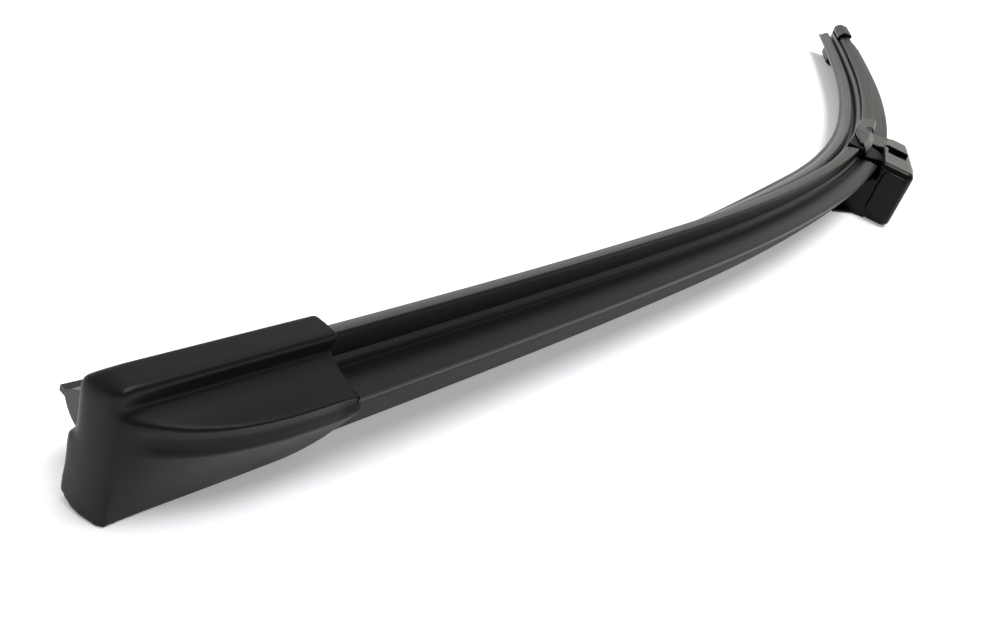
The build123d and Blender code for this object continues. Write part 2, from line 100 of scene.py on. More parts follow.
def polyline(name, points, closed=False):
    """A curve of straight runs through points in metres; a closed one is flat."""
    data = bpy.data.curves.new(name, "CURVE")
    data.dimensions = "2D" if closed else "3D"
    spline = data.splines.new("POLY")
    spline.use_cyclic_u = closed
    spline.points.add(len(points) - 1)
    for made, point in zip(spline.points, points):
        made.co = (*point, 1)
    return placed(name, data)


def bow_line(name, s0, s1):
    """The centre line from s0 to s1 as a curve."""
    count = max(3, round((s1 - s0) / PATH_STEP) + 1)
    return polyline(name, [station(s0 + (s1 - s0) * k / (count - 1)) for k in range(count)])


print("near end of the centre line:", station(-NEAR_LENGTH))

# %% [markdown]
# The spoiler is an extrusion: one section, pushed out through a die and cut to length. Its claws
# grip the rails from both sides, and a hollow-backed fin stands on the ledge. A bevel on the solid
# would break on its long triangles. So the section is drawn once, h away from the glass and w
# across, and its corners are rounded before it is swept.

# %% The spoiler's section
CLAW_HALF, CLAW_FOOT_HALF, CLAW_LOW, CLAW_CHAMFER = 7.55, 6.3, -0.6, 0.6
LEDGE_HEIGHT, LEDGE_DROP, LEDGE_IN = 3.1, 0.3, 0.4
FIN_ROOT_W, FIN_FILLET, FILLET_SAG, FIN_SAG = 3.3, 1.0, 0.29, 0.35
CREST_HEIGHT, CREST_W, CREST_FLAT = 9.95, 3.95, 0.6
SLOPE_FOOT_HEIGHT, SLOPE_SAG = 3.3, 0.7
RAIL_LOW, RAIL_TOP, RAIL_GAP = 0.5, 1.5, 0.15
HEAD_HALF, HEAD_TOP, HEAD_GAP = 2.6, 2.3, 0.3
SHOULDER_HALF, MOUTH_GAP, TRACK_HALF = 4.3, 0.45, 5.45
MOUTH_HALF = SHOULDER_HALF + MOUTH_GAP


def bowed(a, b, sag, steps=8):
    """Points between a and b on a shallow arc that leaves the line by sag at its middle."""
    a, b = Vector(a), Vector(b)
    side = Vector((b.y - a.y, a.x - b.x)).normalized()
    points = []
    for k in range(1, steps):
        f = k / steps
        points.append(a.lerp(b, f) + side * sag * 4 * f * (1 - f))
    return [tuple(p) for p in points]


ledge_end = (LEDGE_HEIGHT, FIN_ROOT_W + FIN_FILLET)
fin_root = (LEDGE_HEIGHT + FIN_FILLET, FIN_ROOT_W)
crest_out = (CREST_HEIGHT, CREST_W)
crest_in = (CREST_HEIGHT, CREST_W - CREST_FLAT)
slope_foot = (SLOPE_FOOT_HEIGHT, -CLAW_HALF)
track = [
    (CLAW_LOW, MOUTH_HALF),
    (RAIL_LOW - RAIL_GAP, MOUTH_HALF),
    (RAIL_LOW - RAIL_GAP, TRACK_HALF),
    (RAIL_TOP + RAIL_GAP, TRACK_HALF),
    (RAIL_TOP + RAIL_GAP, HEAD_HALF + HEAD_GAP),
    (HEAD_TOP + RAIL_GAP, HEAD_HALF + HEAD_GAP),
]
spoiler_section = [
    (CLAW_LOW, CLAW_FOOT_HALF - CLAW_CHAMFER),
    (0.0, CLAW_FOOT_HALF),
    (LEDGE_HEIGHT - LEDGE_DROP, CLAW_HALF),
    (LEDGE_HEIGHT, CLAW_HALF - LEDGE_IN),
    ledge_end,
    *bowed(ledge_end, fin_root, -FILLET_SAG, steps=4),
    fin_root,
    *bowed(fin_root, crest_out, -FIN_SAG),
    crest_out,
    crest_in,
    *bowed(crest_in, slope_foot, -SLOPE_SAG),
    slope_foot,
    (0.0, -CLAW_FOOT_HALF),
    (CLAW_LOW, -CLAW_FOOT_HALF + CLAW_CHAMFER),
    *[(h, -w) for h, w in track],
    *reversed(track),
]
print("points of the spoiler's section:", len(spoiler_section))

# %% [markdown]
# The wiper rubber is the second extrusion. Its head sits between the rails, and below a thin neck
# hangs the wedge that ends in the lip. Both sides are alike, so one side is drawn and mirrored.

# %% The wiper rubber's section
WEB_HALF, WEB_GAP = 1.2, 0.1
SHOULDER_LOW, SHOULDER_IN, NECK_HALF = -1.5, 0.5, 0.55
WEDGE_TOP, WEDGE_EDGE, WEDGE_HALF, WEDGE_DROP, WEDGE_IN = -2.5, -3.6, 2.4, 0.25, 0.3
LIP_ROOT, LIP_HALF, LIP_TIP, FLANK_HOLLOW = -6.3, 0.42, -7.3, 0.35
NECK = (SHOULDER_LOW + WEDGE_TOP) / 2
rubber_half = [
    (HEAD_TOP, HEAD_HALF),
    (RAIL_TOP + WEB_GAP, HEAD_HALF),
    (RAIL_TOP + WEB_GAP, WEB_HALF),
    (RAIL_LOW - WEB_GAP, WEB_HALF),
    (RAIL_LOW - WEB_GAP, SHOULDER_HALF),
    (SHOULDER_LOW, SHOULDER_HALF - SHOULDER_IN),
    (SHOULDER_LOW, NECK_HALF),
    (WEDGE_TOP, NECK_HALF),
    (WEDGE_TOP - WEDGE_DROP, WEDGE_HALF - WEDGE_IN),
    (WEDGE_EDGE, WEDGE_HALF),
    *bowed((WEDGE_EDGE, WEDGE_HALF), (LIP_ROOT, LIP_HALF), FLANK_HOLLOW, steps=6),
    (LIP_ROOT, LIP_HALF),
    (LIP_TIP, LIP_HALF),
]
rubber_section = rubber_half + [(h, -w) for h, w in reversed(rubber_half)]
print("points of the wiper rubber's section:", len(rubber_section))

# %% [markdown]
# Both extrusions are made by one sweep. A curve's own bevel would also carry a section along the
# bow, but it rounds no corners and forgets where on the section a point lies. A Geometry Nodes tree
# rounds them and remembers it, and each size that differs between the pieces is a named input.

# %% Inputs of the sweep
SWEEP_INPUTS = {"Path": "Object", "Section": "Object", "Rubber": "Material"}
for label in (
    "Edge Round",
    "Neck",
    "Lean Start",
    "Lean Most",
    "Lean End",
    "Rise",
    "Turn Start",
    "Turn End",
    "Slant",
    "Slant Start",
    "Slant End",
    "Claw In",
    "Claw Out",
    "Claw Top",
):
    SWEEP_INPUTS[label] = "Float"
sweep = bpy.data.node_groups.new("extrusion", "GeometryNodeTree")
sweep.interface.new_socket("Geometry", in_out="OUTPUT", socket_type="NodeSocketGeometry")
sockets = {}
for label, kind in SWEEP_INPUTS.items():
    socket = sweep.interface.new_socket(label, in_out="INPUT", socket_type="NodeSocket" + kind)
    sockets[label] = socket.identifier
print("sweep inputs:", list(sockets))

# %% [markdown]
# The section's corners are filleted, as the die rounds them, and it is carried along the bow. Each
# point keeps how far along the blade and how far around the section it lies, so that the drawn-out
# lines of the material can follow the bow as those of the die do.

# %% The section along the bow
CORNER_POINTS = 2


def node(tree, kind, inputs=None, **settings):
    """A node with its settings; an input takes a value or the socket that feeds it."""
    made = tree.nodes.new(kind)
    for key, value in settings.items():
        setattr(made, key, value)
    for key, value in (inputs or {}).items():
        if isinstance(value, bpy.types.NodeSocket):
            tree.links.new(value, made.inputs[key])
        else:
            made.inputs[key].default_value = value
    return made


given = node(sweep, "NodeGroupInput").outputs
path = node(sweep, "GeometryNodeObjectInfo", {"Object": given["Path"]}).outputs["Geometry"]
outline = node(sweep, "GeometryNodeObjectInfo", {"Object": given["Section"]}).outputs["Geometry"]
upright = node(sweep, "GeometryNodeSetCurveNormal", {"Curve": path}, mode="Z_UP")
rounded = node(
    sweep,
    "GeometryNodeFilletCurve",
    {
        "Curve": outline,
        "Radius": given["Edge Round"],
        "Count": CORNER_POINTS,
        "Limit Radius": True,
    },
    mode="POLY",
)
length = node(sweep, "GeometryNodeSplineParameter").outputs["Length"]
path_keeps = node(sweep, "GeometryNodeCaptureAttribute", {"Geometry": upright.outputs[0]})
section_keeps = node(sweep, "GeometryNodeCaptureAttribute", {"Geometry": rounded.outputs[0]})
for keeper, label, kind, source in (
    (path_keeps, "Along", "FLOAT", length),
    (path_keeps, "Out", "VECTOR", node(sweep, "GeometryNodeInputNormal").outputs[0]),
    (path_keeps, "Ahead", "VECTOR", node(sweep, "GeometryNodeInputTangent").outputs[0]),
    (section_keeps, "Around", "FLOAT", length),
    (section_keeps, "Spot", "VECTOR", node(sweep, "GeometryNodeInputPosition").outputs[0]),
):
    keeper.capture_items.new(kind, label)
    sweep.links.new(source, keeper.inputs[label])
swept = node(
    sweep,
    "GeometryNodeCurveToMesh",
    {
        "Curve": path_keeps.outputs["Geometry"],
        "Profile Curve": section_keeps.outputs["Geometry"],
        "Fill Caps": True,
    },
)
along = path_keeps.outputs["Along"]
spot = node(sweep, "ShaderNodeSeparateXYZ", {0: section_keeps.outputs["Spot"]}).outputs
height = spot["X"]
aside = node(sweep, "ShaderNodeMath", {0: spot["Y"], 1: -1.0}, operation="MULTIPLY").outputs[0]
print("sweep nodes so far:", len(sweep.nodes))

# %% [markdown]
# The die leaves the lip straight, but it hangs from a thin neck. On a blade that lies on its side
# it leans down over most of the near half, and at the closed near end and past the middle it stands
# out. A chain of bones could bend it, but one rule is enough: all that lies below the neck is turned
# about it, by an angle that changes along the blade.

# %% The lean of the lip
near_lean = node(
    sweep,
    "ShaderNodeMapRange",
    {
        "Value": along,
        "From Max": given["Rise"],
        "To Min": given["Lean Start"],
        "To Max": given["Lean Most"],
    },
    interpolation_type="SMOOTHSTEP",
)
lean = node(
    sweep,
    "ShaderNodeMapRange",
    {
        "Value": along,
        "From Min": given["Turn Start"],
        "From Max": given["Turn End"],
        "To Min": near_lean.outputs[0],
        "To Max": given["Lean End"],
    },
    interpolation_type="SMOOTHSTEP",
).outputs[0]
drop = node(sweep, "ShaderNodeMath", {0: height, 1: given["Neck"]}, operation="SUBTRACT").outputs[0]
hangs = node(sweep, "ShaderNodeMath", {0: drop, 1: 0.0}, operation="LESS_THAN").outputs[0]
angle = node(sweep, "ShaderNodeMath", {0: lean, 1: hangs}, operation="MULTIPLY").outputs[0]
arm = node(sweep, "ShaderNodeCombineXYZ", {"X": drop, "Y": aside}).outputs[0]
leaned = node(
    sweep, "ShaderNodeVectorRotate", {"Vector": arm, "Angle": angle}, rotation_type="Z_AXIS"
).outputs[0]
shift = node(sweep, "ShaderNodeVectorMath", {0: leaned, 1: arm}, operation="SUBTRACT").outputs[0]
shares = node(sweep, "ShaderNodeSeparateXYZ", {0: shift}).outputs
outward = node(
    sweep,
    "ShaderNodeVectorMath",
    {0: path_keeps.outputs["Out"], "Scale": shares["X"]},
    operation="SCALE",
).outputs[0]
upward = node(sweep, "ShaderNodeCombineXYZ", {"Z": shares["Y"]}).outputs[0]
hung = node(sweep, "ShaderNodeVectorMath", {0: outward, 1: upward}, operation="ADD").outputs[0]
print("sweep nodes with the lean:", len(sweep.nodes))

# %% [markdown]
# Beside the connector the spoiler's upper claw is cut back at a slant, to leave room for the cover.
# A boolean cut would leave long thin faces. Drawing the claw's last points back along the blade,
# more the further out they lie, gives the same edge on clean faces.

# %% The slant of the claw
share = node(
    sweep,
    "ShaderNodeMapRange",
    {"Value": aside, "From Min": given["Claw In"], "From Max": given["Claw Out"]},
).outputs[0]
near_end = node(
    sweep,
    "ShaderNodeMapRange",
    {
        "Value": along,
        "From Min": given["Slant Start"],
        "From Max": given["Slant End"],
        "To Max": given["Slant"],
    },
).outputs[0]
low = node(
    sweep, "ShaderNodeMath", {0: height, 1: given["Claw Top"]}, operation="LESS_THAN"
).outputs[0]
cut = node(sweep, "ShaderNodeMath", {0: share, 1: near_end}, operation="MULTIPLY").outputs[0]
low_cut = node(sweep, "ShaderNodeMath", {0: cut, 1: low}, operation="MULTIPLY").outputs[0]
backward = node(
    sweep,
    "ShaderNodeVectorMath",
    {0: path_keeps.outputs["Ahead"], "Scale": low_cut},
    operation="SCALE",
).outputs[0]
moved = node(sweep, "ShaderNodeVectorMath", {0: hung, 1: backward}, operation="SUBTRACT").outputs[0]
bent = node(sweep, "GeometryNodeSetPosition", {"Geometry": swept.outputs[0], "Offset": moved})
print("sweep nodes with the slant:", len(sweep.nodes))

# %% [markdown]
# The two lengths that each point kept become one attribute, strip, for the material to read: a UV
# map would do as well, but these are real lengths in metres. Then the piece gets its rubber.

# %% Marks and rubber
pair = node(sweep, "ShaderNodeCombineXYZ", {"X": along, "Y": section_keeps.outputs["Around"]})
marked = node(
    sweep,
    "GeometryNodeStoreNamedAttribute",
    {"Geometry": bent.outputs[0], "Name": "strip", "Value": pair.outputs[0]},
    data_type="FLOAT_VECTOR",
    domain="POINT",
)
solid = node(sweep, "GeometryNodeRealizeInstances", {"Geometry": marked.outputs[0]})
coated = node(
    sweep,
    "GeometryNodeSetMaterial",
    {"Geometry": solid.outputs[0], "Material": given["Rubber"]},
)
node(sweep, "NodeGroupOutput", {"Geometry": coated.outputs[0]})
print("sweep nodes:", len(sweep.nodes))

# %% [markdown]
# Everything here is black, so what the eye gets is gloss: how sharply the white surroundings mirror,
# and what breaks that mirror up. One flat black would need no nodes, but it looks like none of the
# real materials. So each gets one noise as relief and one that varies its roughness. Rubber and
# plastic keep the shader's IOR of 1.5. Colours are written as sRGB hex codes, as a colour picker
# shows them, and the sockets want linear light.

# %% A textured material
NOISE_LOW, NOISE_HIGH = 0.3, 0.7


def linear(code):
    """Linear colour of an sRGB hex code."""
    parts = [int(code[i : i + 2], 16) / 255 for i in (1, 3, 5)]
    light = [c / 12.92 if c <= 0.04045 else ((c + 0.055) / 1.055) ** 2.4 for c in parts]
    return (*light, 1.0)


def material(name, color, gloss, metallic=0.0):
    """A material with its shader's constant values; returns it, its tree and the shader."""
    made = bpy.data.materials.new(name)
    made.use_nodes = True
    shader = made.node_tree.nodes["Principled BSDF"]
    shader.inputs["Base Color"].default_value = linear(color)
    shader.inputs["Metallic"].default_value = metallic
    shader.inputs["Specular IOR Level"].default_value = gloss
    return made, made.node_tree, shader


def textured(t, shader, relief, sheen, low, high, depth, bump):
    """Emboss one noise, depth mm deep; another takes the roughness, returned, from low to high."""
    embossed = node(
        t, "ShaderNodeBump", {"Height": relief, "Strength": bump, "Distance": depth * MM}
    )
    t.links.new(embossed.outputs[0], shader.inputs["Normal"])
    span = {"From Min": NOISE_LOW, "From Max": NOISE_HIGH, "To Min": low, "To Max": high}
    rough = node(t, "ShaderNodeMapRange", {"Value": sheen, **span}).outputs[0]
    t.links.new(rough, shader.inputs["Roughness"])
    return rough


print("the rubber's black in linear light:", linear("#0e0e0c"))

# %% [markdown]
# Rubber from a die is satin, with fine lines drawn out along it and a few specks of dust that cling
# to it. The windward slope takes wind and grit and is duller. The lines could be modelled, but they
# are far finer than any mesh: noise stretched along the strip gives the same sheen. Real lines lie
# closer than 0.1 mm and are drawn coarser here, so that they show.

# %% Rubber
DRAWN_ACROSS, DRAWN_ALONG, LINE_DEPTH, LINE_BUMP = 0.30, 45.0, 0.010, 0.5
RUBBER_GLOSS = 0.23
WORN = 0.3
DUST, DUST_FROM, DUST_FULL, DUST_COVER = 0.6, 0.78, 0.82, 0.5
DUST_COLOR = "#8d8a82"


def drawn_rubber(name, color, low, high, worn=(0.0, 0.0)):
    """Extruded rubber, dulled between the two marks of worn around its section."""
    made, t, shader = material(name, color, RUBBER_GLOSS)
    strip = node(t, "ShaderNodeAttribute", attribute_name="strip").outputs["Vector"]
    scale = (1 / (DRAWN_ALONG * MM), 1 / (DRAWN_ACROSS * MM), 1)
    drawn = node(t, "ShaderNodeMapping", {"Vector": strip, "Scale": scale}).outputs[0]
    lines = node(t, "ShaderNodeTexNoise", {"Vector": drawn, "Scale": 1.0, "Detail": 3.0}).outputs[0]
    rough = textured(t, shader, lines, lines, low, high, LINE_DEPTH, LINE_BUMP)
    around = node(t, "ShaderNodeSeparateXYZ", {0: strip}).outputs["Y"]
    past = node(t, "ShaderNodeMath", {0: around, 1: worn[0]}, operation="GREATER_THAN").outputs[0]
    before = node(t, "ShaderNodeMath", {0: around, 1: worn[1]}, operation="LESS_THAN").outputs[0]
    within = node(t, "ShaderNodeMath", {0: past, 1: before}, operation="MULTIPLY").outputs[0]
    dull = node(t, "ShaderNodeMath", {0: within, 1: WORN, 2: rough}, operation="MULTIPLY_ADD")
    t.links.new(dull.outputs[0], shader.inputs["Roughness"])
    space = node(t, "ShaderNodeTexCoord").outputs["Object"]
    dust = node(t, "ShaderNodeTexNoise", {"Vector": space, "Scale": 1 / (DUST * MM), "Detail": 1.0})
    specks = {"From Min": DUST_FROM, "From Max": DUST_FULL, "To Max": DUST_COVER}
    cover = node(t, "ShaderNodeMapRange", {"Value": dust.outputs[0], **specks}).outputs[0]
    tint = node(
        t,
        "ShaderNodeMix",
        {"Factor": cover, "A": linear(color), "B": linear(DUST_COLOR)},
        data_type="RGBA",
    )
    t.links.new(tint.outputs["Result"], shader.inputs["Base Color"])
    return made


def reach(points, target):
    """How far around the section, in metres, the target point lies from its first point."""
    way = points[: points.index(target) + 1]
    return sum((Vector(b) - Vector(a)).length for a, b in zip(way, way[1:])) * MM


slope = (reach(spoiler_section, crest_in), reach(spoiler_section, slope_foot))
# Carbon-filled and straight from the die: a deep black with broad, soft lights along the fin.
spoiler_rubber = drawn_rubber("extruded EPDM rubber", "#0e0e0c", low=0.35, high=0.43, worn=slope)
# Coated with graphite to slide on glass: greyer than the spoiler, with a tighter light.
lip_rubber = drawn_rubber("coated wiper rubber", "#2a292c", low=0.28, high=0.38)
print("rubbers:", spoiler_rubber.name, "and", lip_rubber.name)

# %% [markdown]
# The caps, the cover and the clip are moulded plastic. Their tools are spark-eroded, which leaves a
# fine grain on every face, and handling polishes it in clouds. A flat black would look wet or like
# felt: the grain breaks its lights up and the clouds shift them. A real grain measures below 0.1 mm
# and is drawn coarser here, so that it shows.

# %% Plastic
GRAIN, GRAIN_BUMP = 0.35, 0.6
CLOUD = 9.0


def moulded_plastic(name, color, low, high, depth, gloss):
    """Moulded plastic with the grain of its tool, depth mm deep."""
    made, t, shader = material(name, color, gloss)
    space = node(t, "ShaderNodeTexCoord").outputs["Object"]
    fine = node(t, "ShaderNodeTexNoise", {"Vector": space, "Scale": 1 / (GRAIN * MM), "Detail": 2.0})
    cloud = node(t, "ShaderNodeTexNoise", {"Vector": space, "Scale": 1 / (CLOUD * MM), "Detail": 4.0})
    textured(t, shader, fine.outputs[0], cloud.outputs[0], low, high, depth, GRAIN_BUMP)
    return made


# Dull, so that the large caps show their form in soft gradients.
cap_plastic = moulded_plastic(
    "grained PBT plastic", "#11110f", low=0.36, high=0.46, depth=0.022, gloss=0.16
)
# Slippery and a little glossier, so that the cover's small faces catch the light.
cover_plastic = moulded_plastic(
    "grained POM plastic", "#11110f", low=0.30, high=0.40, depth=0.030, gloss=0.25
)
# Smoother, since the arm's hook slides in it: dark faces with thin bright edges.
clip_plastic = moulded_plastic(
    "satin POM plastic", "#12120f", low=0.20, high=0.28, depth=0.020, gloss=0.15
)
print("plastics:", cap_plastic.name, cover_plastic.name, clip_plastic.name)

# %% [markdown]
# The steel pieces are almost hidden, but show when the clip is tilted. Rolling draws lines along the
# rails, turning leaves rings on the pin, and the bracket's dip coat settles in a fine orange peel.
# One noise makes all three: only the size of its marks along X, Y and Z differs.

# %% Steel
STEEL_DEPTH = 0.006
METAL_GLOSS, COAT_GLOSS = 0.5, 0.15


def worked_steel(name, color, low, high, marks, metallic=1.0, gloss=METAL_GLOSS):
    """Steel with the marks of its making, whose size along X, Y and Z is given in mm."""
    made, t, shader = material(name, color, gloss, metallic)
    space = node(t, "ShaderNodeTexCoord").outputs["Object"]
    scale = tuple(1 / (size * MM) for size in marks)
    drawn = node(t, "ShaderNodeMapping", {"Vector": space, "Scale": scale}).outputs[0]
    lines = node(t, "ShaderNodeTexNoise", {"Vector": drawn, "Scale": 1.0, "Detail": 3.0}).outputs[0]
    textured(t, shader, lines, lines, low, high, STEEL_DEPTH, LINE_BUMP)
    return made


# Cold-rolled and left bare: a grey mirror, drawn out along the blade.
spring_steel = worked_steel(
    "rolled spring steel", "#8b8b8c", low=0.30, high=0.42, marks=(40.0, 0.25, 0.25)
)
# Stamped, then dipped in black paint: dull, with no clear reflection.
coated_steel = worked_steel(
    "dip-coated steel",
    "#0b0b0b",
    low=0.52,
    high=0.68,
    marks=(0.8, 0.8, 0.8),
    metallic=0.0,
    gloss=COAT_GLOSS,
)
# Turned bright: the sharpest light on the blade, if only as a glint.
pin_steel = worked_steel("bright steel", "#a4a4a6", low=0.20, high=0.30, marks=(6.0, 6.0, 0.2))
print("steels:", spring_steel.name, coated_steel.name, pin_steel.name)

# %% [markdown]
# Two lengths of spoiler lie between the caps and the connector, each tucked a little into its cap.
# A live modifier would keep them editable, but the export wants plain meshes. So each sweep is
# evaluated once, and its result becomes an object of its own.

# %% Spoilers
CAP_LENGTH, TUCK = 27.0, 0.8
NEAR_SPOILER_END, FAR_SPOILER_END = 9.8, 30.8
CLAW_END_BACK, CLAW_END_IN, SLANT_RUN, SLANT_ABOVE = 8.0, 3.2, 2.5, 0.3
SPOILER_ROUND = 0.22
SECTION_CREASE, NO_CREASE = 38, 180
# Sizes that bend and cut nothing: the neck lies a metre away, and no range is left empty.
STRAIGHT = {"Neck": -1.0, "Rise": 1.0, "Turn End": 1.0, "Slant End": 1.0, "Claw Out": 1.0}


def baked(holder, name, crease=NO_CREASE):
    """The holder's finished mesh as a new object, sharp past crease degrees; the holder goes."""
    view = bpy.context.evaluated_depsgraph_get()
    mesh = bpy.data.meshes.new_from_object(holder.evaluated_get(view))
    mesh.name = name
    made = placed(name, mesh)
    bpy.data.objects.remove(holder)
    mesh.shade_smooth()
    mesh.set_sharp_from_angle(angle=radians(crease))
    return made


def extrusion(name, section, s0, s1, edge, rubber, **sizes):
    """A length of rubber from s0 to s1 with corners rounded to edge mm; sizes are in metres."""
    line = bow_line(name + "_line", s0, s1)
    die = polyline(name + "_die", [(h * MM, -w * MM, 0) for h, w in section], closed=True)
    holder = placed(name + "_holder", bpy.data.meshes.new(name + "_holder"))
    modifier = holder.modifiers.new("sweep", "NODES")
    modifier.node_group = sweep
    values = {"Path": line, "Section": die, "Rubber": rubber, "Edge Round": edge * MM}
    values |= STRAIGHT
    values |= {label.replace("_", " ").title(): size for label, size in sizes.items()}
    for label, value in values.items():
        modifier[sockets[label]] = value
    made = baked(holder, name, SECTION_CREASE)
    for helper in (line, die):
        bpy.data.objects.remove(helper)
    print(name, len(made.data.polygons), "faces")
    return made


near_in = -NEAR_LENGTH + CAP_LENGTH - TUCK
far_in = FAR_LENGTH - CAP_LENGTH + TUCK
near_end_at = -NEAR_SPOILER_END - near_in
near_spoiler = extrusion(
    "near_spoiler",
    spoiler_section,
    near_in,
    -NEAR_SPOILER_END,
    SPOILER_ROUND,
    spoiler_rubber,
    slant=CLAW_END_BACK * MM,
    slant_start=(near_end_at - SLANT_RUN * CLAW_END_BACK) * MM,
    slant_end=near_end_at * MM,
    claw_in=(CLAW_HALF - CLAW_END_IN) * MM,
    claw_out=CLAW_HALF * MM,
    claw_top=(LEDGE_HEIGHT + SLANT_ABOVE) * MM,
)
far_spoiler = extrusion(
    "far_spoiler", spoiler_section, FAR_SPOILER_END, far_in, SPOILER_ROUND, spoiler_rubber
)

# %% [markdown]
# The wiper rubber runs through the whole blade, from inside one cap to inside the other. It is the
# same sweep, with the lean of its lip given in degrees at three places: the near end, the near half
# and the far half.

# %% Wiper rubber
RUBBER_END_INSET = 2.7
LEAN_END, LEAN_NEAR, LEAN_FAR = -8.0, 21.0, -2.0
LEAN_RISE = 30.0
TURN_NEAR, TURN_FAR = -140.0, -60.0
LIP_ROUND = 0.12
rubber_start = -NEAR_LENGTH + RUBBER_END_INSET
lip = extrusion(
    "wiping_rubber",
    rubber_section,
    rubber_start,
    FAR_LENGTH - RUBBER_END_INSET,
    LIP_ROUND,
    lip_rubber,
    neck=NECK * MM,
    lean_start=radians(LEAN_END),
    lean_most=radians(LEAN_NEAR),
    lean_end=radians(LEAN_FAR),
    rise=LEAN_RISE * MM,
    turn_start=(TURN_NEAR - rubber_start) * MM,
    turn_end=(TURN_FAR - rubber_start) * MM,
)
for piece, cad, finish in (
    (near_spoiler, "spoiler_near", "spoiler_rubber"),
    (far_spoiler, "spoiler_far", "spoiler_rubber"),
    (lip, "wiper_rubber", "wiper_rubber"),
):
    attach(piece, "blade")
    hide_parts(cad)

# %% [markdown]
# Between the rim of its hollow and the fold of its windward side a real cap is not flat. The mould
# blends both in a shallow valley, and rounds the rim and the end of the wing more widely than other
# edges. Sculpting it by hand would not follow the nose. So the valley is pressed in along the nose's
# own curve, in the cap's space, where e runs in from its mouth, and a vertex group marks what is
# rounded most.

# %% The caps' valley and wide rounds
CAP_WING_HEIGHT, CAP_GROOVE, CAP_WING_IN = 4.2, 0.5, 5.9
CAP_HOLLOW_POWER = 2.6
NOSE_REACH, NOSE_POWER = 26.0, 3.2
VALLEY_DEEP, VALLEY_WIDE, VALLEY_FADE = 0.9, 3.4, 4.0
RIM_SOFT = 1.7
WING_END, WING_FOOT = 4.0, -6.0


def ease(x, a, b):
    """A smooth step from 0 at a to 1 at b."""
    f = min(1.0, max(0.0, (x - a) / (b - a)))
    return f * f * (3 - 2 * f)


def rim_at(e):
    """Height and side of the hollow's rim, e mm in from the cap's mouth."""
    drop = (max(0.0, e) / NOSE_REACH) ** NOSE_POWER * (CREST_HEIGHT - CAP_WING_HEIGHT)
    fall = min(1.0, drop / (CREST_HEIGHT - CAP_WING_HEIGHT + CAP_GROOVE))
    return CREST_HEIGHT - drop, CREST_W + (CAP_WING_IN - CREST_W) * fall**CAP_HOLLOW_POWER


def pressed(e, h, w):
    """Height of a cap's point once the valley is pressed in."""
    rim_h, rim_w = rim_at(e)
    across = (rim_w - w) / VALLEY_WIDE
    if not 0 < across < 1 or h < rim_h - VALLEY_WIDE:
        return h
    ends = ease(e, 0.0, VALLEY_FADE / 2) * ease(NOSE_REACH - e, 0.0, VALLEY_FADE)
    return h - VALLEY_DEEP * sin(pi * across) * ends


def roundness(e, h, w):
    """How much a cap's point takes part in the wide rounds of the rim and the wing's end."""
    rim_h, rim_w = rim_at(e)
    rim = ease(RIM_SOFT - hypot(h - rim_h, w - rim_w), 0.0, RIM_SOFT) * ease(e, 0.0, VALLEY_FADE)
    wing = ease(e, CAP_LENGTH - WING_END, CAP_LENGTH - WING_END / 2)
    return max(rim, wing * ease(w, WING_FOOT, WING_FOOT / 2))


def blend_cap(cap, s, way):
    """Press the valley into a cap whose mouth is at s, and mark where it is rounded most."""
    space = Matrix.Translation(station(s)) @ Matrix.Rotation(turn(s), 4, "Z")
    back = space.inverted()
    wide = cap.vertex_groups.new(name="wide round")
    for vertex in cap.data.vertices:
        x, y, z = back @ vertex.co / MM
        h = pressed(way * x, -y, z)
        wide.add([vertex.index], roundness(way * x, h, z), "REPLACE")
        vertex.co = space @ (Vector((x, -h, z)) * MM)


print("rim at the mouth and half-way down the nose:", rim_at(0.0), rim_at(NOSE_REACH / 2))

# %% [markdown]
# The clip's end wall closes the connector towards the near spoiler, along a slanted edge over its
# windward slope. The edge is drawn out a little, so that no light gets through between them, and it
# still clears the slope when the clip turns.

# %% The clip's end wall
CLIP_NEAR, CLIP_HALF, CLIP_WALL, WALL_FADE = 23.0, 8.4, 1.7, 1.0
GUSSET_HIGH, GUSSET_LOW, GUSSET_SIDE, GUSSET_REACH = 11.7, 4.6, 4.0, 1.3
GUSSET_INSET, GUSSET_FADE, GUSSET_DEPTH = 1.0, 2.0, 2.2
gusset_top, gusset_foot = Vector((GUSSET_HIGH, GUSSET_SIDE)), Vector((GUSSET_LOW, -CLIP_HALF))


def reach_down(clip):
    """Draw the clip's end wall out to the windward slope, square to the wall's slanted edge."""
    edge = (gusset_foot - gusset_top).normalized()
    out = Vector((edge.y, -edge.x))
    wall_in = CLIP_WALL - CLIP_NEAR
    for vertex in clip.data.vertices:
        x, y, w = (vertex.co - pivot) / MM
        h = PIN_HEIGHT - y
        inside = (gusset_top - Vector((h, w))).dot(out)
        share = 1 - ease(x, wall_in, wall_in + WALL_FADE)
        share *= ease(w, -CLIP_HALF, -CLIP_HALF / 2)
        share *= ease(GUSSET_SIDE - GUSSET_INSET - w, 0.0, GUSSET_FADE)
        share *= 1 - ease(inside, 0.0, GUSSET_DEPTH)
        move = out * GUSSET_REACH * share
        vertex.co += Vector((0, -move.x, move.y)) * MM


print("slanted edge of the end wall in mm:", (gusset_foot - gusset_top).length)

# %% [markdown]
# The plastic pieces are injection moulded, so no edge of them is sharp. A Bevel modifier needs even
# faces, and a CAD mesh has slivers. So a copy of each solid is turned into an even grid of small
# faces and relaxed a little: its edges come out with the small rounds of a mould, and its broad faces
# stay where they were. The clip's thin walls need a grid that keeps edges.

# %% Moulded pieces
VOXEL, KEEN_DEPTH, MERGE = 0.22, 8, 0.005
RELAX, WIDE_ROUNDS = 0.5, 50
CAP_ROUNDS, COVER_ROUNDS, CLIP_ROUNDS = 12, 10, 6


